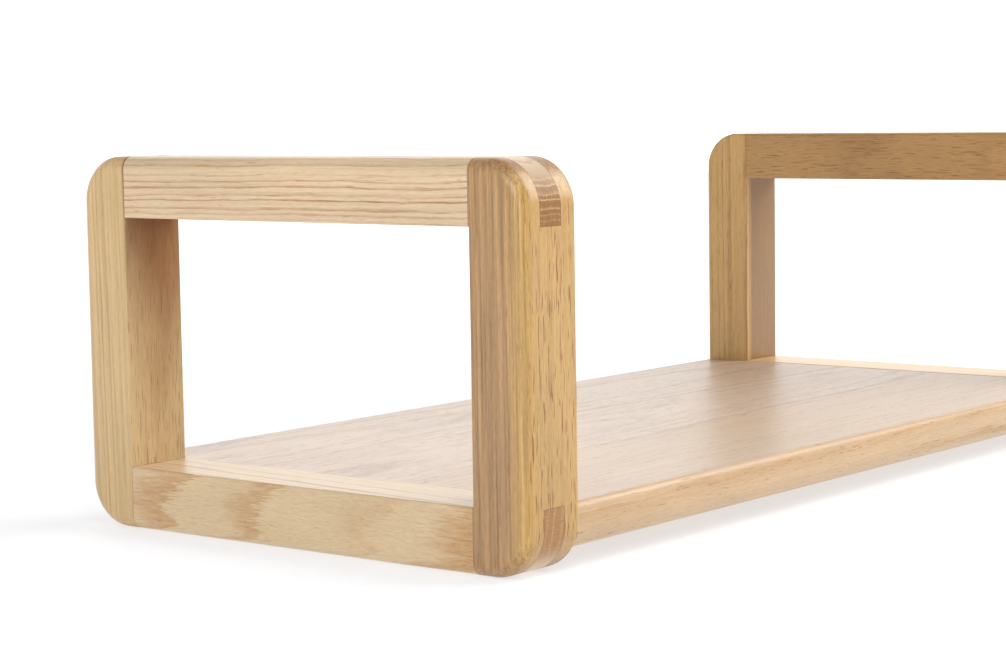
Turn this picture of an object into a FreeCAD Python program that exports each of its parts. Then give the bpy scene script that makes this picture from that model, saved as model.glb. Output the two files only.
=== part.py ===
"""Oak wall rack: a shelf between two open end frames, as a parametric FreeCAD document.

Frame of the part: the back of the rack, which lies on the wall, is the plane Y = 0 and the front
faces -Y. X runs along the shelf and +Z is up. The origin is midway between the two keyhole hangers,
at the height of the holes that the wall screws enter by. Sizes are in millimetres.

Each end frame is four sticks in corner bridle joints: the uprights have open slots at both ends and
the rails have tenons that pass through them. The joined frame is then rounded as one, so every stick
here is the overlap of a square-cut blank with the rounded form of the whole frame. The left end is
modelled, and the right end is its mirror image.
"""
import FreeCAD, Part
import math
import os
import re
import Sketcher

SIZES = {
    # end frames
    "rack_length": 522,  # X, over both frames
    "frame_depth": 242,  # Y, front to wall
    "frame_height": 160,  # Z
    "stick_thickness": 32,  # X size of every stick
    "upright_width": 27,  # Y size of the uprights
    "top_rail_height": 26,
    "bottom_rail_height": 27,
    "tenon_thickness": 13,
    "corner_radius": 19.5,  # corners of a frame seen from the side
    "outer_face_round": 5.5,  # outline edge of the face away from the shelf
    "inner_face_round": 1.5,  # outline edge of the face that the shelf meets
    "window_round": 0.8,  # eased edges of the window
    # shelf
    "shelf_thickness": 19,
    "shelf_drop": 0.2,  # shelf top below the tops of the bottom rails
    "shelf_setback": 1,  # shelf front behind the fronts of the frames
    "shelf_top_round": 3,  # upper front and back edges
    "shelf_under_round": 8.5,  # lower front and back edges, to follow the corners of the frames
    "front_stave_width": 84,
    "middle_stave_width": 78,
    # dowels between the shelf and the bottom rails
    "dowel_diameter": 8,
    "dowel_length": 40,
    "dowel_depth_in_rail": 16,
    "dowel_chamfer": 1,
    "dowel_pitch": 50,
    "hole_end_room": 1,  # empty hole past the end of a dowel or screw
    "glue_gap": 0.05,  # radial room round dowels and screws
    # keyhole hangers in the backs of the back uprights
    "hanger_height": 100,  # keyhole entry above the bottom of the frame
    "plate_length": 48,
    "plate_width": 16,
    "plate_thickness": 2,
    "plate_rise": 3,  # plate centre above the keyhole entry
    "plate_gap": 0.15,  # room round the plate in its recess
    "entry_diameter": 9.5,
    "keyhole_slot_width": 4.6,
    "keyhole_travel": 8,  # from the entry up to the end of the slot, between centres
    "head_pocket_width": 10.5,  # room in the wood for the head of the wall screw
    "head_pocket_depth": 10,
    "screw_spacing": 34,  # between the two fixing screws of a plate
    "screw_diameter": 3.5,
    "screw_head_diameter": 7.6,
    "screw_length": 16,
    "screw_tip_length": 3,
    "screw_recess_depth": 1.2,
    "screw_recess_width": 0.9,
    "screw_recess_span": 3.6,
}
DOWELS_PER_END = 4
SCREWS_PER_PLATE = 2
NEAR = 1e-4

# Places worked out from the sizes, as expressions.
OUTER_FACE = "-rack_length / 2"
FRAME_BOTTOM = "-hanger_height"
SLOT_LEFT = "(stick_thickness - tenon_thickness) / 2"
SLOT_RIGHT = "(stick_thickness + tenon_thickness) / 2"
TOP_RAIL_BOTTOM = "frame_height - top_rail_height"
SHELF_TOP = "bottom_rail_height - shelf_drop"
SHELF_BOTTOM = SHELF_TOP + " - shelf_thickness"
SHELF_FRONT = "-frame_depth + shelf_setback"
SHELF_BACK = "0"
FRONT_SEAM = SHELF_FRONT + " + front_stave_width"
BACK_SEAM = FRONT_SEAM + " + middle_stave_width"

doc = FreeCAD.newDocument("wall_rack")
sheet = doc.addObject("Spreadsheet::Sheet", "sizes")
for row, (alias, value) in enumerate(SIZES.items(), start=1):
    sheet.set(f"A{row}", alias)
    sheet.set(f"B{row}", str(value))
    sheet.setAlias(f"B{row}", alias)
doc.recompute()


# ---------------------------------------------------------------- helpers
def expression(text):
    """Point every size name in an expression at the sheet."""
    return re.sub(r"[a-z_]+", r"sizes.\g<0>", text)


def amount(text):
    """The number that an expression gives now."""
    numbers = re.sub(r"[a-z_]+", lambda name: str(sheet.get(name.group(0))), text)
    return FreeCAD.Units.parseQuantity(numbers).Value


def bind(item, **properties):
    for name, text in properties.items():
        item.setExpression(name, expression(text))


def place(item, x="0", y="0", z="0"):
    for axis, text in (("x", x), ("y", y), ("z", z)):
        item.setExpression("Placement.Base." + axis, expression(text))


def new_body(name):
    body = doc.addObject("PartDesign::Body", name)
    body.Label = name
    body.AllowCompound = True
    return body


def origin_feature(body, role):
    return [item for item in body.Origin.OriginFeatures if item.Role == role][0]


def new_sketch(body, plane, name):
    sketch = body.newObject("Sketcher::SketchObject", name)
    sketch.AttachmentSupport = (origin_feature(body, plane), "")
    sketch.MapMode = "FlatFace"
    return sketch


def hold(sketch, kind, where, text):
    """Add a dimension to a sketch and tie its value to the sheet."""
    index = sketch.addConstraint(Sketcher.Constraint(kind, *where, amount(text)))
    sketch.setExpression(f"Constraints[{index}]", expression(text))


def hold_point(sketch, point, x, y):
    hold(sketch, "DistanceX", (-1, 1, *point), x)
    hold(sketch, "DistanceY", (-1, 1, *point), y)


def polygon(sketch, corners):
    """A closed outline of straight lines through corners, which are pairs of expressions."""
    count = len(corners)
    spots = [FreeCAD.Vector(amount(x), amount(y), 0) for x, y in corners]
    for step in range(count):
        sketch.addGeometry(Part.LineSegment(spots[step], spots[(step + 1) % count]), False)
    for step in range(count):
        sketch.addConstraint(Sketcher.Constraint("Coincident", step, 2, (step + 1) % count, 1))
    for step, (x, y) in enumerate(corners):
        hold_point(sketch, (step, 1), x, y)


def rectangle(sketch, left, bottom, right, top):
    polygon(sketch, [(left, bottom), (right, bottom), (right, top), (left, top)])


def circle(sketch, y, radius):
    """A circle on the vertical axis of the sketch."""
    centre = FreeCAD.Vector(0, amount(y), 0)
    sketch.addGeometry(Part.Circle(centre, FreeCAD.Vector(0, 0, 1), amount(radius)), False)
    hold_point(sketch, (0, 3), "0", y)
    hold(sketch, "Radius", (0,), radius)


def stadium(sketch, bottom, top, radius):
    """A vertical slot outline: two half circles, centred at bottom and top, and two lines."""
    low, high, wide = amount(bottom), amount(top), amount(radius)
    normal = FreeCAD.Vector(0, 0, 1)
    lower = Part.Circle(FreeCAD.Vector(0, low, 0), normal, wide)
    upper = Part.Circle(FreeCAD.Vector(0, high, 0), normal, wide)
    right = Part.LineSegment(FreeCAD.Vector(wide, low, 0), FreeCAD.Vector(wide, high, 0))
    left = Part.LineSegment(FreeCAD.Vector(-wide, high, 0), FreeCAD.Vector(-wide, low, 0))
    sketch.addGeometry(Part.ArcOfCircle(lower, math.pi, 2 * math.pi), False)
    sketch.addGeometry(right, False)
    sketch.addGeometry(Part.ArcOfCircle(upper, 0, math.pi), False)
    sketch.addGeometry(left, False)
    for step in range(4):
        sketch.addConstraint(Sketcher.Constraint("Tangent", step, 2, (step + 1) % 4, 1))
    hold_point(sketch, (0, 3), "0", bottom)
    hold_point(sketch, (2, 3), "0", top)
    hold(sketch, "Radius", (0,), radius)


def extrude(body, kind, sketch, length, name, reverse=False):
    """A Pad or a Pocket. A Pocket that removes nothing is refused."""
    before = body.Shape.Volume if kind == "Pocket" else 0
    feature = body.newObject("PartDesign::" + kind, name)
    feature.Profile = sketch
    feature.Reversed = reverse
    bind(feature, Length=length)
    doc.recompute()
    if kind == "Pocket" and not body.Shape.Volume < before - NEAR:
        raise ValueError(name + " cuts nothing")
    return feature


def round_edges(body, radius, name, wanted):
    """Fillet the edges of the body's last feature that wanted() picks."""
    last = body.Tip
    picked = [f"Edge{number}" for number, edge in enumerate(last.Shape.Edges, start=1) if wanted(edge)]
    if not picked:
        raise ValueError(name + " finds no edge")
    feature = body.newObject("PartDesign::Fillet", name)
    feature.Base = (last, picked)
    bind(feature, Radius=radius)
    doc.recompute()
    return feature


def pattern(body, originals, axis, length, count, name):
    feature = body.newObject("PartDesign::LinearPattern", name)
    feature.Originals = originals
    feature.Direction = (origin_feature(body, axis), [""])
    bind(feature, Length=length)
    feature.Occurrences = count
    body.Tip = feature
    doc.recompute()
    return feature


def boolean(kind, name, base, tool):
    feature = doc.addObject("Part::" + kind, name)
    feature.Label = name
    feature.Base = base
    feature.Tool = tool
    doc.recompute()
    return feature


def fuse(name, *pieces):
    feature = doc.addObject("Part::MultiFuse", name)
    feature.Shapes = list(pieces)
    doc.recompute()
    return feature


def mirror(name, source):
    """The same piece at the other end of the rack."""
    feature = doc.addObject("Part::Mirroring", name)
    feature.Label = name
    feature.Source = source
    feature.Normal = FreeCAD.Vector(1, 0, 0)
    doc.recompute()
    return feature


def corners_of(edge):
    return [vertex.Point for vertex in edge.Vertexes]


def in_plane_x(edge, x):
    return all(abs(point.x - x) < NEAR for point in corners_of(edge))


def along_x(edge):
    first, last = corners_of(edge)[0], corners_of(edge)[-1]
    return abs(first.y - last.y) < NEAR and abs(first.z - last.z) < NEAR and abs(first.x - last.x) > NEAR


# ---------------------------------------------------------------- end frame
def make_frame_form():
    """The rounded outline and window of a whole end frame, outer face at X = 0 of its own body."""
    body = new_body("frame_form")
    outline = new_sketch(body, "YZ_Plane", "frame_outline")
    rectangle(outline, "-frame_depth", "0", "0", "frame_height")
    extrude(body, "Pad", outline, "stick_thickness", "frame_block")
    round_edges(body, "corner_radius", "frame_corners", along_x)
    round_edges(body, "outer_face_round", "outer_face_edge", lambda edge: in_plane_x(edge, 0))
    inner = SIZES["stick_thickness"]
    round_edges(body, "inner_face_round", "inner_face_edge", lambda edge: in_plane_x(edge, inner))
    window = new_sketch(body, "YZ_Plane", "window_outline")
    rectangle(window, "-frame_depth + upright_width", "bottom_rail_height", "-upright_width", TOP_RAIL_BOTTOM)
    extrude(body, "Pocket", window, "stick_thickness", "window", reverse=True)

    def on_window(edge):
        front = -SIZES["frame_depth"] + SIZES["upright_width"] - NEAR
        back = -SIZES["upright_width"] + NEAR
        inside = all(front < point.y < back for point in corners_of(edge))
        return inside and (in_plane_x(edge, 0) or in_plane_x(edge, inner))

    def in_window(edge):
        low = SIZES["bottom_rail_height"] - NEAR
        high = SIZES["frame_height"] - SIZES["top_rail_height"] + NEAR
        return on_window(edge) and all(low < point.z < high for point in corners_of(edge))

    round_edges(body, "window_round", "window_edges", in_window)
    place(body, OUTER_FACE, "0", FRAME_BOTTOM)
    return body


def make_upright_blank(name, y):
    """A stick with an open slot for a rail's tenon at each end. Its back is at the expression y."""
    body = new_body(name)
    outline = new_sketch(body, "XZ_Plane", name + "_outline")
    polygon(outline, [
        ("0", "0"), (SLOT_LEFT, "0"), (SLOT_LEFT, "bottom_rail_height"), (SLOT_RIGHT, "bottom_rail_height"),
        (SLOT_RIGHT, "0"), ("stick_thickness", "0"), ("stick_thickness", "frame_height"),
        (SLOT_RIGHT, "frame_height"), (SLOT_RIGHT, TOP_RAIL_BOTTOM), (SLOT_LEFT, TOP_RAIL_BOTTOM),
        (SLOT_LEFT, "frame_height"), ("0", "frame_height"),
    ])
    extrude(body, "Pad", outline, "upright_width", name + "_stick")
    place(body, OUTER_FACE, y, FRAME_BOTTOM)
    return body


def make_rail_blank(name, height, z):
    """A stick with a tenon at each end, the full height of the stick. Its bottom is at z."""
    body = new_body(name)
    outline = new_sketch(body, "XY_Plane", name + "_outline")
    front_shoulder = "-frame_depth + upright_width"
    back_shoulder = "-upright_width"
    polygon(outline, [
        (SLOT_LEFT, "-frame_depth"), (SLOT_RIGHT, "-frame_depth"), (SLOT_RIGHT, front_shoulder),
        ("stick_thickness", front_shoulder), ("stick_thickness", back_shoulder), (SLOT_RIGHT, back_shoulder),
        (SLOT_RIGHT, "0"), (SLOT_LEFT, "0"), (SLOT_LEFT, back_shoulder), ("0", back_shoulder),
        ("0", front_shoulder), (SLOT_LEFT, front_shoulder),
    ])
    extrude(body, "Pad", outline, height, name + "_stick")
    place(body, OUTER_FACE, "0", z)
    return body


# ---------------------------------------------------------------- shelf
def make_stave_blank(name, front, back, rounded):
    """One board of the glued-up shelf, from front to back, with its outer long edges rounded."""
    body = new_body(name)
    section = new_sketch(body, "YZ_Plane", name + "_section")
    rectangle(section, front, SHELF_BOTTOM, back, SHELF_TOP)
    pad = extrude(body, "Pad", section, "rack_length - 2 * stick_thickness", name + "_board")
    pad.SideType = "Symmetric"
    doc.recompute()
    if rounded:
        points = [vertex.Point for vertex in body.Shape.Vertexes]
        end = (min if rounded == "front" else max)(point.y for point in points)
        top = max(point.z for point in points)
        bottom = min(point.z for point in points)
        for radius, height, label in (("shelf_top_round", top, "_top_edge"),
                                      ("shelf_under_round", bottom, "_under_edge")):
            round_edges(body, radius, name + label,
                        lambda edge: along_x(edge) and abs(corners_of(edge)[0].y - end) < NEAR
                        and abs(corners_of(edge)[0].z - height) < NEAR)
    place(body, "0", "0", FRAME_BOTTOM)
    return body


def make_dowels(name, radius, end_room, chamfered):
    """The row of dowels at the left end of the shelf, or the holes for them."""
    body = new_body(name)
    section = new_sketch(body, "YZ_Plane", name + "_section")
    circle(section, "0", radius)
    peg = extrude(body, "Pad", section, "dowel_length + 2 * " + end_room, name + "_peg")
    row = [peg]
    if chamfered:
        chamfer = body.newObject("PartDesign::Chamfer", name + "_ends")
        chamfer.Base = (peg, ["Edge1", "Edge3"])
        bind(chamfer, Size="dowel_chamfer")
        doc.recompute()
        row.append(chamfer)
    pattern(body, row, "Y_Axis", f"dowel_pitch * {DOWELS_PER_END - 1}", DOWELS_PER_END, name + "_row")
    place(body,
          OUTER_FACE + " + stick_thickness - dowel_depth_in_rail - " + end_room,
          f"-frame_depth / 2 - dowel_pitch * {DOWELS_PER_END - 1} / 2",
          FRAME_BOTTOM + " + " + SHELF_TOP + " - shelf_thickness / 2")
    return body


# ---------------------------------------------------------------- keyhole hanger
HANGER_X = OUTER_FACE + " + stick_thickness / 2"
PLATE_END = "(plate_length - plate_width) / 2"


def make_plate_blank():
    """A steel plate with round ends and a keyhole. Its own origin is the keyhole's entry."""
    body = new_body("plate_blank")
    outline = new_sketch(body, "XZ_Plane", "plate_outline")
    stadium(outline, f"plate_rise - {PLATE_END}", f"plate_rise + {PLATE_END}", "plate_width / 2")
    extrude(body, "Pad", outline, "plate_thickness", "plate_sheet")
    entry = new_sketch(body, "XZ_Plane", "entry_outline")
    circle(entry, "0", "entry_diameter / 2")
    extrude(body, "Pocket", entry, "plate_thickness", "keyhole_entry", reverse=True)
    slot = new_sketch(body, "XZ_Plane", "slot_outline")
    stadium(slot, "0", "keyhole_travel", "keyhole_slot_width / 2")
    extrude(body, "Pocket", slot, "plate_thickness", "keyhole_slot", reverse=True)
    place(body, HANGER_X)
    return body


def make_hanger_recess():
    """The space cut in the upright for the plate and, deeper, for the head of the wall screw."""
    body = new_body("hanger_recess")
    outline = new_sketch(body, "XZ_Plane", "recess_outline")
    stadium(outline, f"plate_rise - {PLATE_END}", f"plate_rise + {PLATE_END}", "plate_width / 2 + plate_gap")
    extrude(body, "Pad", outline, "plate_thickness", "plate_recess")
    pocket = new_sketch(body, "XZ_Plane", "head_pocket_outline")
    stadium(pocket, "0", "keyhole_travel", "head_pocket_width / 2")
    extrude(body, "Pad", pocket, "head_pocket_depth", "head_pocket")
    place(body, HANGER_X)
    return body


def make_screws(name, gap, end_room, with_recess):
    """The countersunk fixing screws of one plate, or the holes that they fill."""
    body = new_body(name)
    section = new_sketch(body, "XY_Plane", name + "_section")
    head = f"screw_head_diameter / 2 + {gap}"
    shank = f"screw_diameter / 2 + {gap}"
    polygon(section, [
        ("0", "0"), (head, "0"), (shank, "screw_diameter / 2 - screw_head_diameter / 2"),
        (shank, "screw_tip_length - screw_length"), ("0", f"-screw_length - {end_room}"),
    ])
    turned = body.newObject("PartDesign::Revolution", name + "_turned")
    turned.Profile = section
    turned.ReferenceAxis = (section, ["V_Axis"])
    doc.recompute()
    row = [turned]
    if with_recess:
        cross = new_sketch(body, "XZ_Plane", name + "_cross")
        arm, half = "screw_recess_span / 2", "screw_recess_width / 2"
        polygon(cross, [
            (half, half), (half, arm), ("-" + half, arm), ("-" + half, half), ("-" + arm, half),
            ("-" + arm, "-" + half), ("-" + half, "-" + half), ("-" + half, "-" + arm), (half, "-" + arm),
            (half, "-" + half), (arm, "-" + half), (arm, half),
        ])
        row.append(extrude(body, "Pocket", cross, "screw_recess_depth", name + "_recess", reverse=True))
    count = SCREWS_PER_PLATE - 1
    pattern(body, row, "Z_Axis", f"screw_spacing * {count}", SCREWS_PER_PLATE, name + "_pair")
    place(body, HANGER_X, "0", f"plate_rise - screw_spacing * {count} / 2")
    return body


# ---------------------------------------------------------------- assembly
def make_left_frame(dowel_holes, hanger_space):
    form = make_frame_form()
    front_blank = make_upright_blank("front_upright_blank", "upright_width - frame_depth")
    back_blank = make_upright_blank("back_upright_blank", "0")
    top_blank = make_rail_blank("top_rail_blank", "top_rail_height", FRAME_BOTTOM + " + " + TOP_RAIL_BOTTOM)
    bottom_blank = make_rail_blank("bottom_rail_blank", "bottom_rail_height", FRAME_BOTTOM)
    back_stick = boolean("Common", "back_upright_stick", back_blank, form)
    bottom_stick = boolean("Common", "bottom_rail_stick", bottom_blank, form)
    return [
        boolean("Common", "left_front_upright", front_blank, form),
        boolean("Cut", "left_back_upright", back_stick, hanger_space),
        boolean("Common", "left_top_rail", top_blank, form),
        boolean("Cut", "left_bottom_rail", bottom_stick, dowel_holes),
    ]


def make_shelf(dowel_holes):
    far_holes = mirror("right_dowel_holes", dowel_holes)
    all_holes = fuse("all_dowel_holes", dowel_holes, far_holes)
    staves = [
        ("shelf_front_stave", SHELF_FRONT, FRONT_SEAM, "front"),
        ("shelf_middle_stave", FRONT_SEAM, BACK_SEAM, ""),
        ("shelf_back_stave", BACK_SEAM, SHELF_BACK, "back"),
    ]
    made = []
    for name, front, back, rounded in staves:
        blank = make_stave_blank(name + "_blank", front, back, rounded)
        made.append(boolean("Cut", name, blank, all_holes))
    return made


def make_rack():
    dowels = make_dowels("left_shelf_dowels", "dowel_diameter / 2", "0", True)
    dowel_holes = make_dowels("left_dowel_holes", "dowel_diameter / 2 + glue_gap", "hole_end_room", False)
    screws = make_screws("left_hanger_screws", "0", "0", True)
    screw_holes = make_screws("hanger_screw_holes", "glue_gap", "hole_end_room", False)
    recess = make_hanger_recess()
    hanger_space = fuse("hanger_space", recess, screw_holes)
    plate = boolean("Cut", "left_hanger_plate", make_plate_blank(), screw_holes)
    left = make_left_frame(dowel_holes, hanger_space) + [dowels, plate, screws]
    right = [mirror(piece.Label.replace("left_", "right_"), piece) for piece in left]
    return left + right + make_shelf(dowel_holes)


def check(pieces):
    """Refuse to write anything while any object or piece is unsound."""
    for item in doc.Objects:
        if "Invalid" in item.State or "Error" in item.State:
            raise ValueError(item.Label + " failed: " + str(item.State))
    for piece in pieces:
        if piece.Shape.isNull() or not piece.Shape.isValid() or not piece.Shape.Solids:
            raise ValueError(piece.Label + " has no sound shape")


rack = make_rack()
doc.recompute()
check(rack)
os.makedirs("parts", exist_ok=True)
for piece in rack:
    piece.Shape.exportStep(os.path.join("parts", piece.Label + ".step"))
    box = piece.Shape.BoundBox
    print(f"{piece.Label}: {len(piece.Shape.Solids)} solid(s), {piece.Shape.Volume:.0f} mm3, "
          f"{box.XLength:.2f} x {box.YLength:.2f} x {box.ZLength:.2f}")
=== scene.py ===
"""Looks of the oak wall rack: lacquered oak for every stick and board, beech dowels and zinc-plated
steel hangers, on a plain pale floor."""

import math

import bpy
from mathutils import Matrix, Vector


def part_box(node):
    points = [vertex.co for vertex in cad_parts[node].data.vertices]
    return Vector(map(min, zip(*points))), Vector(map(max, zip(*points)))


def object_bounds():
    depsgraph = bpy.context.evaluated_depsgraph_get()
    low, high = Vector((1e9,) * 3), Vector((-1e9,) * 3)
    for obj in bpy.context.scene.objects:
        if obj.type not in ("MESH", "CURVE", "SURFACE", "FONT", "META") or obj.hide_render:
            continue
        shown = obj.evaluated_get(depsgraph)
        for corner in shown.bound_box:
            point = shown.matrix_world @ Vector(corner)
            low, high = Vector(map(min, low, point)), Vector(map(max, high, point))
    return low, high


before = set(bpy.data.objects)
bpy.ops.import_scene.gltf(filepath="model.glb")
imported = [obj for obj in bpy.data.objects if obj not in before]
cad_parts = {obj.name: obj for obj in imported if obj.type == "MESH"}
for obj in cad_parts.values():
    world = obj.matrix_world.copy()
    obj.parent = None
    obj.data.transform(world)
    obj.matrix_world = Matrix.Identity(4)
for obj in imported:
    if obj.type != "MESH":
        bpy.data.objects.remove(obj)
cad_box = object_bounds()

X, Y, Z = Vector((1, 0, 0)), Vector((0, 1, 0)), Vector((0, 0, 1))
MM = 0.001
WHITE = (1, 1, 1, 1)
# the same tint also paints shade over the shelf staves' end faces, in the crevice against the frames
GLUE_AND_SHADE_TINT = (0.35, 0.25, 0.18, 1)  # darkens the wood along a glue line
GLUE_WIDTH = 0.22 * MM  # in the bridle joints
SEAM_CORE, SEAM_EDGE = 0.05 * MM, 0.16 * MM  # half widths of a seam between staves

# lacquer: coat weight and roughness
GLOSSY = (0.6, 0.34)
SATIN = (0.65, 0.55)
THIN = (0.3, 0.4)
RUBBED = (0.12, 0.4)
BARE = (0.0, 0.5)


# ---------------------------------------------------------------- wiring of shader nodes
class Wiring:
    """Adds nodes to a node tree. An input is a number, a vector, a colour or another node's socket."""

    def __init__(self, tree):
        self.tree = tree
        self.count = 0

    def node(self, kind, inputs=(), **settings):
        made = self.tree.nodes.new(kind)
        made.location = (180 * (self.count % 14), -260 * (self.count // 14))
        self.count += 1
        for name, value in settings.items():
            setattr(made, name, value)
        for name, value in dict(inputs).items():
            self.feed(made.inputs[name], value)
        return made

    def feed(self, socket, value):
        if isinstance(value, bpy.types.NodeSocket):
            self.tree.links.new(value, socket)
        else:
            socket.default_value = value

    def math(self, operation, *values):
        inputs = dict(enumerate(values))
        return self.node("ShaderNodeMath", inputs, operation=operation).outputs[0]

    def vector(self, operation, *values):
        inputs = dict(enumerate(values))
        made = self.node("ShaderNodeVectorMath", inputs, operation=operation)
        scalar = operation in ("LENGTH", "DOT_PRODUCT", "DISTANCE")
        return made.outputs["Value" if scalar else "Vector"]

    def scaled(self, vector, factor):
        made = self.node("ShaderNodeVectorMath", {0: vector, "Scale": factor}, operation="SCALE")
        return made.outputs["Vector"]

    def mix(self, share, first, second, blend="MIX"):
        """Blend of two colours."""
        made = self.node("ShaderNodeMix", data_type="RGBA", blend_type=blend, clamp_factor=True)
        self.feed(made.inputs[0], share)
        self.feed(made.inputs[6], first)
        self.feed(made.inputs[7], second)
        return made.outputs[2]

    def multiply(self, share, first, second):
        return self.mix(share, first, second, "MULTIPLY")

    def remap(self, value, low, high, to_low=0.0, to_high=1.0):
        """Smooth step from low to high, as a value from to_low to to_high."""
        inputs = {"Value": value, "From Min": low, "From Max": high, "To Min": to_low, "To Max": to_high}
        made = self.node("ShaderNodeMapRange", inputs, interpolation_type="SMOOTHSTEP", clamp=True)
        return made.outputs["Result"]

    def noise(self, where, stretch, detail=2.0, roughness=0.5, colour=False):
        """Noise with so many cells to the metre along each axis."""
        place = self.vector("MULTIPLY", where, stretch)
        inputs = {"Vector": place, "Scale": 1.0, "Detail": detail, "Roughness": roughness}
        made = self.node("ShaderNodeTexNoise", inputs, noise_dimensions="3D")
        return made.outputs["Color" if colour else "Fac"]

    def swing(self, noise, strength):
        """Noise as a swing to both sides of zero."""
        return self.math("MULTIPLY", self.math("SUBTRACT", noise, 0.5), strength)

    def line_noise(self, where):
        """Noise along a line, one cell for each unit."""
        inputs = {"W": where, "Scale": 1.0, "Detail": 1.0}
        return self.node("ShaderNodeTexNoise", inputs, noise_dimensions="1D").outputs["Fac"]


def new_group(name, inputs, outputs):
    """A shader node group with named sockets. Inputs are (name, kind, default)."""
    tree = bpy.data.node_groups.new(name, "ShaderNodeTree")
    for label, kind, default in inputs:
        socket = tree.interface.new_socket(label, in_out="INPUT", socket_type="NodeSocket" + kind)
        if default is not None:
            socket.default_value = default
    for label, kind in outputs:
        tree.interface.new_socket(label, in_out="OUTPUT", socket_type="NodeSocket" + kind)
    wiring = Wiring(tree)
    source = wiring.node("NodeGroupInput").outputs
    drain = wiring.node("NodeGroupOutput").inputs
    return tree, wiring, source, drain


# ---------------------------------------------------------------- oak
def make_oak_group():
    """Oak as a solid: growth rings round a pith that runs along local X, with pores, rays and fibres.

    Local Z points from the pith to the bark. The same solid gives straight lines, arches or end grain,
    depending on how a face cuts it.
    """
    inputs = [
        ("Place", "Vector", None), ("Normal", "Vector", None),
        # colours: late and early wood of the outer zone, wood of the inner zone (on the left back upright
        # partly painted shade), pores, end grain
        ("Late Wood", "Color", (0.6, 0.4, 0.2, 1)), ("Early Wood", "Color", (0.4, 0.25, 0.12, 1)),
        ("Inner Wood And Shade", "Color", (0.5, 0.35, 0.2, 1)), ("Pore Colour", "Color", (0.15, 0.08, 0.04, 1)),
        ("End Tint", "Color", (0.62, 0.44, 0.28, 1)), ("End Ring", "Color", (0.95, 0.80, 0.56, 1)),
        # growth rings
        ("Ring Width", "Float", 3 * MM), ("Ring Shift", "Float", 0.0), ("Ring Strength", "Float", 0.6),
        ("Ring Blur", "Float", 0.35), ("Outer Rings", "Float", 1.0), ("Gaps", "Float", 1.0),
        ("Waves", "Float", 2 * MM), ("Ripple", "Float", 0.4 * MM),
        # marks between the rings
        ("Pores", "Float", 0.5), ("Rays", "Float", 0.5),
        ("Streaks", "Float", 0.6), ("Speckle", "Float", 0.3),
        # radii between which the inner zone passes into the outer one
        ("Inner End", "Float", 0.0), ("Outer Start", "Float", 1.0),
        ("Gloss", "Float", 0.35),
    ]
    outputs = [("Color", "Color"), ("Roughness", "Float"), ("Height", "Float")]
    tree, w, source, drain = new_group("oak_grain", inputs, outputs)
    place = source["Place"]

    # growth rings, bent by slow waves and a fine ripple
    middle = (0.5, 0.5, 0.5)
    wave = w.vector("SUBTRACT", w.noise(place, (13, 45, 45), 3.0, 0.55, colour=True), middle)
    ripple = w.vector("SUBTRACT", w.noise(place, (75, 380, 380), 3.0, 0.6, colour=True), middle)
    bent = w.vector("ADD", place, w.scaled(wave, source["Waves"]))
    bent = w.vector("ADD", bent, w.scaled(ripple, source["Ripple"]))
    radius = w.vector("LENGTH", w.vector("MULTIPLY", bent, (0, 1, 1)))
    ring = w.math("DIVIDE", radius, source["Ring Width"])
    ring = w.math("ADD", ring, w.math("MULTIPLY", w.line_noise(w.math("MULTIPLY", ring, 0.6)), 1.3))
    feather = w.noise(place, (30, 1300, 1300), 2.0, 0.6)
    ring = w.math("ADD", ring, w.swing(feather, 0.45))
    ring = w.math("ADD", ring, source["Ring Shift"])

    # early wood: dark from the start of each year, stronger in some years, with gaps along the grain
    season = w.math("FRACT", ring)
    fade = w.remap(season, 0.0, source["Ring Blur"], 1.0, 0.0)
    early = w.math("MAXIMUM", fade, w.remap(season, 0.94, 1.0))
    year = w.math("FLOOR", w.math("ADD", ring, 0.06))
    vigour = w.remap(w.line_noise(w.math("MULTIPLY", year, 3.7)), 0.3, 0.7, 0.3, 1.0)
    early = w.math("MULTIPLY", early, vigour)
    broken = w.noise(place, (26, 700, 700), 4.0, 0.65)
    gaps = w.math("MULTIPLY", w.remap(broken, 0.34, 0.62, 0.75, 0.0), source["Gaps"])
    line = w.math("MULTIPLY", early, w.math("SUBTRACT", 1.0, gaps))

    # vessels: short dark dashes along the grain, crowded in the early wood, and dots across it
    vessel = w.noise(place, (120, 2100, 2100), 1.0, 0.5)
    crowd = w.math("MULTIPLY", early, 0.09)
    pore = w.remap(w.math("ADD", vessel, crowd), 0.68, 0.77)
    pore = w.math("MULTIPLY", pore, source["Pores"])
    # rays: thin upright sheets, dark lens-shaped lines where a face faces the bark
    sheets = w.noise(w.vector("ADD", place, (3.1, 1.7, 0.4)), (95, 1600, 110), 1.0, 0.45)
    facing = w.node("ShaderNodeSeparateXYZ", {0: w.vector("ABSOLUTE", source["Normal"])}).outputs
    ray = w.math("MULTIPLY", w.remap(sheets, 0.62, 0.67), w.remap(facing[2], 0.55, 0.95))
    ray = w.math("MULTIPLY", ray, source["Rays"])
    pit = w.math("MAXIMUM", pore, ray)

    # fibres, streaks, clouds and speckle: how light the wood is, to both sides of 1
    fibre = w.noise(place, (34, 3000, 3000), 3.0, 0.65)
    streak = w.noise(w.vector("ADD", place, (0.7, 2.1, 5.3)), (9, 640, 640), 5.0, 0.7)
    cloud = w.noise(w.vector("ADD", place, (2.2, 0.4, 1.9)), (16, 50, 50), 2.0, 0.5)
    speckle = w.noise(w.vector("ADD", place, (4.4, 0.9, 2.7)), (260, 1700, 1700), 2.0, 0.6)
    calm = w.remap(facing[2], 0.5, 0.95, 1.0, 0.3)
    tone = w.math("MULTIPLY", w.swing(streak, source["Streaks"]), calm)
    for noise, strength in ((cloud, 0.25), (fibre, 0.45), (speckle, source["Speckle"])):
        tone = w.math("ADD", tone, w.swing(noise, strength))
    tone = w.math("ADD", tone, 1.0)
    tone = w.node("ShaderNodeCombineColor", {0: tone, 1: tone, 2: tone}).outputs[0]

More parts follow.
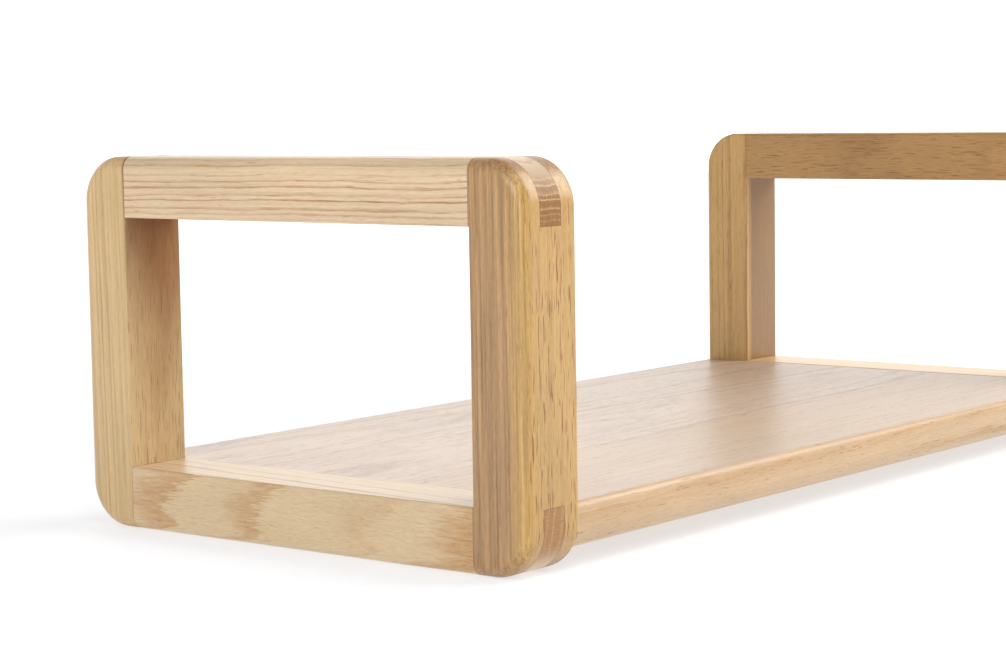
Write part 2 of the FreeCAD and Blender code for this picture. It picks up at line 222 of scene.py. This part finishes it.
    # colour along the grain, then the end grain, where facing[0] nears 1
    zone = w.remap(radius, source["Inner End"], source["Outer Start"])
    wood = w.mix(zone, source["Inner Wood And Shade"], source["Late Wood"])
    zone_rings = w.node("ShaderNodeMix", {0: zone, 2: 1.0, 3: source["Outer Rings"]}).outputs[0]
    depth = w.math("MULTIPLY", source["Ring Strength"], zone_rings)
    end = w.remap(facing[0], 0.5, 0.97)
    side = w.remap(facing[0], 0.5, 0.97, 1.0, 0.1)
    colour = w.mix(w.math("MULTIPLY", w.math("MULTIPLY", line, depth), side), wood, source["Early Wood"])
    colour = w.multiply(1.0, colour, tone)
    colour = w.mix(w.math("MULTIPLY", pit, 0.9), colour, source["Pore Colour"])
    cut = w.math("ADD", early, w.swing(w.noise(place, (300, 2600, 260), 2.0, 0.5), 1.1))
    colour = w.multiply(end, colour, w.mix(cut, source["End Tint"], source["End Ring"]))
    w.feed(drain["Color"], colour)

    # dull pores and end grain, pores and early wood sunk below the lacquer's level
    rough = source["Gloss"]
    for dull, strength in ((pit, 0.2), (end, 0.12), (early, 0.04)):
        rough = w.math("ADD", rough, w.math("MULTIPLY", dull, strength))
    w.feed(drain["Roughness"], rough)
    height = w.math("SUBTRACT", w.math("MULTIPLY", fibre, 0.2), w.math("MULTIPLY", pit, 0.35))
    w.feed(drain["Height"], w.math("SUBTRACT", height, w.math("MULTIPLY", line, 0.25)))
    return tree


def make_joint_group():
    """The glue line of one bridle joint: round the tenon's end and along the rail's shoulder."""
    tree, w, source, drain = new_group(
        "bridle_joint_line",
        [("Place", "Vector", None), ("Corner", "Vector", None), ("Side", "Vector", None),
         ("Half Tenon", "Float", 6.5 * MM), ("Line Width", "Float", 0.2 * MM)],
        [("Line", "Float")],
    )
    local = w.vector("MULTIPLY", w.vector("SUBTRACT", source["Place"], source["Corner"]), source["Side"])
    part = w.node("ShaderNodeSeparateXYZ", {0: local}).outputs
    across = w.math("SUBTRACT", w.math("ABSOLUTE", part[0]), source["Half Tenon"])
    width = source["Line Width"]
    slack = w.math("MULTIPLY", width, -0.5)

    def close(distance):
        return w.remap(w.math("ABSOLUTE", distance), w.math("MULTIPLY", width, 0.4), width, 1.0, 0.0)

    in_depth = w.math("GREATER_THAN", part[1], slack)
    in_height = w.math("GREATER_THAN", part[2], slack)
    in_tenon = w.math("LESS_THAN", across, w.math("MULTIPLY", width, 0.5))
    cheek = w.math("MULTIPLY", close(across), w.math("MULTIPLY", in_depth, in_height))
    shoulder = w.math("MULTIPLY", close(part[1]), in_height)
    shut = w.math("MULTIPLY", close(part[2]), w.math("MULTIPLY", in_depth, in_tenon))
    w.feed(drain["Line"], w.math("MAXIMUM", cheek, w.math("MAXIMUM", shoulder, shut)))
    return tree


OAK = make_oak_group()
JOINT = make_joint_group()


def linear(red, green, blue):
    """A colour given as screen values from 0 to 255."""
    def channel(value):
        share = value / 255
        return share / 12.92 if share < 0.04045 else ((share + 0.055) / 1.055) ** 2.4
    return (channel(red), channel(green), channel(blue), 1.0)


def fill_slots(node, material):
    """Puts one material in every slot of a CAD node."""
    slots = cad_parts[node].data.materials
    for index in range(len(slots)):
        slots[index] = material


def joint_corners(node):
    """(corner, side, half tenon) of the two bridle joints that a stick is in."""
    end = node.split("_")[0]
    low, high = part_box(end + "_top_rail")
    bottom_rail_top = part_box(end + "_bottom_rail")[1].z
    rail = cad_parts[end + "_top_rail"].data
    tenon = [v.co.x for v in rail.vertices if v.co.y < low.y + 1 * MM]
    half = (max(tenon) - min(tenon)) / 2
    x = (low.x + high.x) / 2
    front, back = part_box(end + "_front_upright")[1].y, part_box(end + "_back_upright")[0].y
    every = [((x, y, z), (1, side_y, side_z), half, name_y, name_z)
             for y, side_y, name_y in ((front, -1, "front"), (back, 1, "back"))
             for z, side_z, name_z in ((low.z, 1, "top"), (bottom_rail_top, -1, "bottom"))]
    return [row[:3] for row in every if row[3] in node or row[4] in node]


def make_oak(name, node, grain, bark, pith, tilt=0.0, twist=0.0, coat=GLOSSY, **values):
    """Oak for one node.

    grain is the way the stick was cut along, bark the way from the pith outwards, and pith the distance
    from the pith to the middle of the stick. tilt and twist lean the pith, in degrees. coat is the weight
    and roughness of the lacquer. Other values go to the oak group's inputs of the same name.
    """
    low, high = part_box(node)
    middle = (low + high) / 2
    across = bark.cross(grain)
    lean = Matrix.Rotation(math.radians(tilt), 3, across) @ Matrix.Rotation(math.radians(twist), 3, bark)
    grain, across, bark = lean @ grain, lean @ across, lean @ bark
    turn = Matrix((grain, across, bark))
    shift = Vector((0, 0, pith)) - turn @ middle

    material = bpy.data.materials.new(name)
    material.use_nodes = True
    tree = material.node_tree
    tree.nodes.clear()
    w = Wiring(tree)
    surface = w.node("ShaderNodeTexCoord").outputs
    angles = turn.to_euler("XYZ")
    to_local = {"Vector": surface["Object"], "Location": shift, "Rotation": angles}
    local = w.node("ShaderNodeMapping", to_local)
    to_facing = {"Vector": surface["Normal"], "Rotation": angles}
    facing = w.node("ShaderNodeMapping", to_facing, vector_type="NORMAL")
    oak = w.node("ShaderNodeGroup", node_tree=OAK)
    w.feed(oak.inputs["Place"], local.outputs[0])
    w.feed(oak.inputs["Normal"], facing.outputs[0])
    for label, value in values.items():
        w.feed(oak.inputs[label.replace("_", " ").title()], value)
    colour = oak.outputs["Color"]
    if "stave" in node:
        place = w.node("ShaderNodeSeparateXYZ", {0: surface["Object"]}).outputs
        glued_low, glued_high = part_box("shelf_middle_stave")
        # glue seams between the staves, and lines at each stave's ends: real dark joints along the edges,
        # while the whole end face falls inside the line and gets painted shade, seen in the crevice
        # against a frame
        for axis, seam in ((0, low.x), (0, high.x), (1, glued_low.y), (1, glued_high.y)):
            away = w.math("ABSOLUTE", w.math("SUBTRACT", place[axis], seam))
            line = w.remap(away, SEAM_CORE, SEAM_EDGE, 0.45, 0.0)
            colour = w.multiply(line, colour, GLUE_AND_SHADE_TINT)
    else:
        for corner, side, half in joint_corners(node):
            joint = w.node("ShaderNodeGroup", node_tree=JOINT)
            for label, value in (("Place", surface["Object"]), ("Corner", corner), ("Side", side),
                                 ("Half Tenon", half), ("Line Width", GLUE_WIDTH)):
                w.feed(joint.inputs[label], value)
            share = w.math("MULTIPLY", joint.outputs[0], 0.6)
            colour = w.multiply(share, colour, GLUE_AND_SHADE_TINT)
    relief = {"Height": oak.outputs["Height"], "Strength": 0.3, "Distance": 0.15 * MM}
    bump = w.node("ShaderNodeBump", relief)
    shader = w.node("ShaderNodeBsdfPrincipled", {
        "Base Color": colour, "Roughness": oak.outputs["Roughness"], "Normal": bump.outputs["Normal"],
        "Coat Weight": coat[0], "Coat Roughness": coat[1], "Coat IOR": 1.5, "Specular IOR Level": 0.3,
    })
    w.node("ShaderNodeOutputMaterial", {"Surface": shader.outputs[0]})
    fill_slots(node, material)


def woods(late, early, inner, pore, end_tint=(0.58, 0.36, 0.15, 1)):
    """The colours of one piece of oak. end_tint multiplies the colour where the grain is cut across."""
    return dict(late_wood=linear(*late), early_wood=linear(*early), inner_wood_and_shade=linear(*inner),
                pore_colour=linear(*pore), end_tint=end_tint)


# left end frame: dark straight grain in front, gold behind with painted shade on the back upright's
# front-facing side, pale rails
FRONT = woods((190, 150, 86), (106, 68, 40), (164, 128, 86), (138, 78, 26), (0.86, 0.74, 0.6, 1))
BACK_WOOD_AND_SHADE = woods((197, 168, 123), (146, 94, 40), (124, 74, 8), (116, 62, 16), (0.8, 0.68, 0.55, 1))
PALE = woods((206, 181, 148), (160, 106, 56), (190, 156, 112), (118, 66, 24), (0.43, 0.24, 0.06, 1))
ARCHED = woods((207, 181, 143), (176, 124, 62), (206, 176, 136), (120, 76, 38))

make_oak("oak_front_upright_left", "left_front_upright", grain=Z, bark=-Y, pith=400 * MM, tilt=0.15,
         inner_end=402 * MM, outer_start=412.8 * MM, ring_width=1.9 * MM, ring_shift=0.3,
         ring_strength=0.15, ring_blur=0.9, outer_rings=0.3, waves=1.6 * MM, ripple=0.5 * MM,
         rays=1.0, pores=0.5, streaks=2.3, speckle=0.5, **FRONT)
# The back upright's side facing the front upright grades from the dark inner zone at the top to the paler
# outer zone at the bottom, through the leaned pith: partly the wood's own brown, partly painted shade
# under the top rail.
make_oak("oak_back_upright_left", "left_back_upright", grain=Z, bark=Y, pith=200 * MM, tilt=-1.1,
         coat=RUBBED, inner_end=185.4 * MM, outer_start=187.9 * MM, ring_width=3 * MM,
         ring_strength=0.35, waves=1.5 * MM, pores=0.25, streaks=0.8, **BACK_WOOD_AND_SHADE)
make_oak("oak_top_rail_left", "left_top_rail", grain=Y, bark=Z, pith=140 * MM, tilt=0.3,
         coat=THIN, inner_end=0.0, outer_start=100 * MM, ring_width=2.7 * MM, ring_strength=0.95,
         ring_blur=0.45, gaps=0.7, waves=4.2 * MM, ripple=0.9 * MM, rays=0.0, pores=0.4, **PALE)
make_oak("oak_bottom_rail_left", "left_bottom_rail", grain=Y, bark=-X, pith=50 * MM, tilt=4.2, twist=0.5,
         coat=SATIN, inner_end=0.0, outer_start=10 * MM, ring_width=4.4 * MM, ring_strength=0.85,
         ring_blur=0.36, gaps=0.35, waves=4 * MM, ripple=1 * MM, rays=0.15, pores=0.3, streaks=0.35,
         **ARCHED)

# right end frame: warmer and darker wood
WARM = woods((208, 166, 104), (150, 102, 58), (150, 113, 64), (104, 62, 30))
DARK = woods((187, 144, 88), (140, 92, 50), (176, 130, 76), (94, 56, 26))
GOLD = woods((228, 186, 124), (172, 120, 64), (208, 162, 100), (104, 60, 26))

make_oak("oak_front_upright_right", "right_front_upright", grain=Z, bark=-Y, pith=150 * MM, tilt=0.4,
         inner_end=100 * MM, outer_start=130 * MM, ring_width=2.8 * MM, **WARM)
make_oak("oak_back_upright_right", "right_back_upright", grain=Z, bark=(Y - X).normalized(),
         pith=120 * MM, inner_end=118.5 * MM, outer_start=122.5 * MM, ring_width=3 * MM, **WARM)
make_oak("oak_top_rail_right", "right_top_rail", grain=Y, bark=-X, pith=70 * MM, tilt=2.0,
         inner_end=0.0, outer_start=100 * MM, ring_width=3.3 * MM, waves=5 * MM, **DARK)
make_oak("oak_bottom_rail_right", "right_bottom_rail", grain=Y, bark=X, pith=80 * MM, tilt=1.2,
         inner_end=0.0, outer_start=100 * MM, ring_width=3.2 * MM, **GOLD)

# shelf: the front stave has a band of golden early wood along its upper front edge
EDGE = woods((203, 170, 130), (184, 132, 52), (196, 168, 138), (140, 90, 44), (1, 0.95, 0.9, 1))
SHELF = woods((198, 172, 147), (152, 112, 82), (194, 167, 141), (120, 72, 36), (1, 0.95, 0.9, 1))

make_oak("oak_shelf_front", "shelf_front_stave", grain=X, bark=Vector((0, -0.95, -0.31)),
         pith=300 * MM, tilt=0.25, coat=SATIN, inner_end=333 * MM, outer_start=335 * MM,
         ring_width=6 * MM, ring_shift=0.25, ring_strength=0.15, ring_blur=0.6, outer_rings=6.0,
         rays=0.12, pores=0.8, streaks=0.4, **EDGE)
make_oak("oak_shelf_middle", "shelf_middle_stave", grain=X, bark=Z, pith=50 * MM, tilt=1.2,
         coat=SATIN, inner_end=0.0, outer_start=10 * MM, ring_width=3.4 * MM, waves=5 * MM, **SHELF)
make_oak("oak_shelf_back", "shelf_back_stave", grain=X, bark=Z, pith=70 * MM, tilt=0.8,
         coat=SATIN, inner_end=0.0, outer_start=10 * MM, ring_width=3 * MM, waves=4 * MM, **SHELF)

# dowels: bare beech, which has finer rings and more rays
BEECH = woods((214, 178, 134), (176, 130, 86), (214, 178, 134), (140, 92, 56), (0.8, 0.68, 0.52, 1))

for side in ("left", "right"):
    make_oak("beech_" + side, side + "_shelf_dowels", grain=X, bark=Z, pith=60 * MM, coat=BARE,
             inner_end=0.0, outer_start=10 * MM, ring_width=2.2 * MM, ring_strength=0.3, rays=0.7,
             gloss=0.6, **BEECH)


# ---------------------------------------------------------------- steel
def make_plating_group():
    """Zinc plating: cloudy crystals, fine rubbing marks and dull spots."""
    inputs = [
        ("Place", "Vector", None),
        ("Bright", "Color", (0.6, 0.6, 0.6, 1)), ("Dull", "Color", (0.4, 0.4, 0.4, 1)),
        ("Crystals", "Float", 400.0), ("Gloss", "Float", 0.3),
    ]
    outputs = [("Color", "Color"), ("Roughness", "Float"), ("Height", "Float")]
    tree, w, source, drain = new_group("zinc_plating", inputs, outputs)
    grains = w.node("ShaderNodeTexVoronoi", {"Vector": source["Place"], "Scale": source["Crystals"]})
    shade = w.node("ShaderNodeSeparateColor", {0: grains.outputs["Color"]}).outputs[0]
    marks = w.noise(source["Place"], (9000, 400, 260), 3.0, 0.7)
    spots = w.noise(source["Place"], (260, 260, 260), 3.0, 0.6)
    dull = w.math("ADD", w.math("MULTIPLY", shade, 0.35), w.remap(spots, 0.45, 0.7))
    w.feed(drain["Color"], w.mix(dull, source["Bright"], source["Dull"]))
    rough = w.math("ADD", source["Gloss"], w.math("MULTIPLY", dull, 0.15))
    w.feed(drain["Roughness"], w.math("ADD", rough, w.math("MULTIPLY", marks, 0.1)))
    w.feed(drain["Height"], w.math("ADD", w.math("MULTIPLY", marks, 0.4), w.math("MULTIPLY", shade, 0.3)))
    return tree


PLATING = make_plating_group()


def make_steel(name, nodes, bright, dull, crystals, gloss):
    """Plated steel for some nodes. crystals is the number of zinc crystals to the metre."""
    material = bpy.data.materials.new(name)
    material.use_nodes = True
    tree = material.node_tree
    tree.nodes.clear()
    w = Wiring(tree)
    zinc = w.node("ShaderNodeGroup", node_tree=PLATING)
    place = w.node("ShaderNodeTexCoord").outputs["Object"]
    for label, value in (("Place", place), ("Bright", bright), ("Dull", dull), ("Crystals", crystals),
                         ("Gloss", gloss)):
        w.feed(zinc.inputs[label], value)
    relief = {"Height": zinc.outputs["Height"], "Strength": 0.2, "Distance": 0.1 * MM}
    bump = w.node("ShaderNodeBump", relief)
    shader = w.node("ShaderNodeBsdfPrincipled", {
        "Base Color": zinc.outputs["Color"], "Roughness": zinc.outputs["Roughness"], "Metallic": 1.0,
        "Normal": bump.outputs["Normal"],
    })
    w.node("ShaderNodeOutputMaterial", {"Surface": shader.outputs[0]})
    for node in nodes:
        fill_slots(node, material)


make_steel("zinc_plate", ["left_hanger_plate", "right_hanger_plate"],
           bright=(0.52, 0.53, 0.54, 1), dull=(0.37, 0.38, 0.39, 1), crystals=420.0, gloss=0.36)
make_steel("yellow_zinc", ["left_hanger_screws", "right_hanger_screws"],
           bright=(0.62, 0.49, 0.24, 1), dull=(0.44, 0.36, 0.22, 1), crystals=1400.0, gloss=0.32)


# ---------------------------------------------------------------- room
def make_floor():
    """A pale floor that glows a little, so that it stays white. It glows less close to the rack, where the
    rack's soft shadow falls."""
    bpy.ops.object.select_all(action="DESELECT")
    bpy.ops.mesh.primitive_plane_add(size=8, location=(0, 0, cad_box[0].z))
    floor = bpy.context.object
    floor.name = "floor"
    material = bpy.data.materials.new("pale_floor")
    material.use_nodes = True
    shader = material.node_tree.nodes["Principled BSDF"]
    shader.inputs["Base Color"].default_value = (0.39, 0.40, 0.42, 1)
    shader.inputs["Roughness"].default_value = 0.8
    shader.inputs["Specular IOR Level"].default_value = 0.2
    shader.inputs["Emission Color"].default_value = WHITE
    w = Wiring(material.node_tree)
    away = w.vector("LENGTH", w.node("ShaderNodeTexCoord").outputs["Object"])
    near_edge, far_edge, near_glow, far_glow = 0.25, 0.7, 0.6, 0.98
    glow = w.remap(away, near_edge, far_edge, near_glow, far_glow)
    w.feed(shader.inputs["Emission Strength"], glow)
    floor.data.materials.append(material)


def make_camera():
    """A long lens in front of the left end, a little above the shelf."""
    data = bpy.data.cameras.new("camera")
    data.sensor_width = 36
    data.lens = 86.1
    data.clip_start, data.clip_end = 0.05, 50
    camera = bpy.data.objects.new("camera", data)
    yaw, pitch, roll = 0.6684, -0.0972, -0.0155
    ahead = Vector((math.cos(yaw) * math.cos(pitch), math.sin(yaw) * math.cos(pitch), math.sin(pitch)))
    level = Vector((math.sin(yaw), -math.cos(yaw), 0))
    up = level.cross(ahead)
    side = math.cos(roll) * level + math.sin(roll) * up
    top = -math.sin(roll) * level + math.cos(roll) * up
    turn = Matrix((side, top, -ahead)).transposed().to_4x4()
    place = cad_box[0] + Vector((-0.7039, -0.5449, 0.1809))
    camera.matrix_world = Matrix.Translation(place) @ turn
    bpy.context.scene.collection.objects.link(camera)
    bpy.context.scene.camera = camera


def make_light(name, place, aim, size, power):
    """A round soft box, size metres across, turned from its place towards aim."""
    data = bpy.data.lights.new(name, "AREA")
    data.shape = "DISK"
    data.size = size
    data.energy = power
    lamp = bpy.data.objects.new(name, data)
    lamp.location = place
    lamp.rotation_euler = (Vector(aim) - Vector(place)).to_track_quat("-Z", "Y").to_euler()
    bpy.context.scene.collection.objects.link(lamp)


def make_world():
    """White all round to the eye. As light it is brightest behind the rack, where the backdrop stands."""
    world = bpy.data.worlds.new("studio")
    world.use_nodes = True
    tree = world.node_tree
    tree.nodes.clear()
    w = Wiring(tree)
    way = w.node("ShaderNodeTexCoord").outputs["Generated"]
    to_backdrop = (0.6, 0.8, 0.05)
    behind = w.vector("DOT_PRODUCT", way, to_backdrop)
    room_level, backdrop_level = 0.22, 1.6
    level = w.remap(behind, 0.45, 0.98, room_level, backdrop_level)
    seen = w.node("ShaderNodeLightPath").outputs["Is Camera Ray"]
    strength = w.math("MAXIMUM", level, seen)
    glow = w.node("ShaderNodeBackground", {"Color": WHITE, "Strength": strength})
    w.node("ShaderNodeOutputWorld", {"Surface": glow.outputs[0]})
    bpy.context.scene.world = world


make_floor()
make_camera()
make_light("key_light", place=(1.0, -1.05, 1.15), aim=(-0.1, -0.1, 0), size=1.7, power=31)
make_light("low_light", place=(0.35, -1.7, 0.35), aim=(0, -0.15, 0), size=1.2, power=3.5)
make_light("front_light", place=(-0.72, -0.98, 1.32), aim=(-0.26, -0.24, 0), size=0.5, power=4)
make_light("left_light", place=(-1.15, -0.25, 0.35), aim=(-0.26, -0.12, 0), size=0.7, power=5)
make_world()
bpy.context.scene.view_settings.view_transform = "Standard"
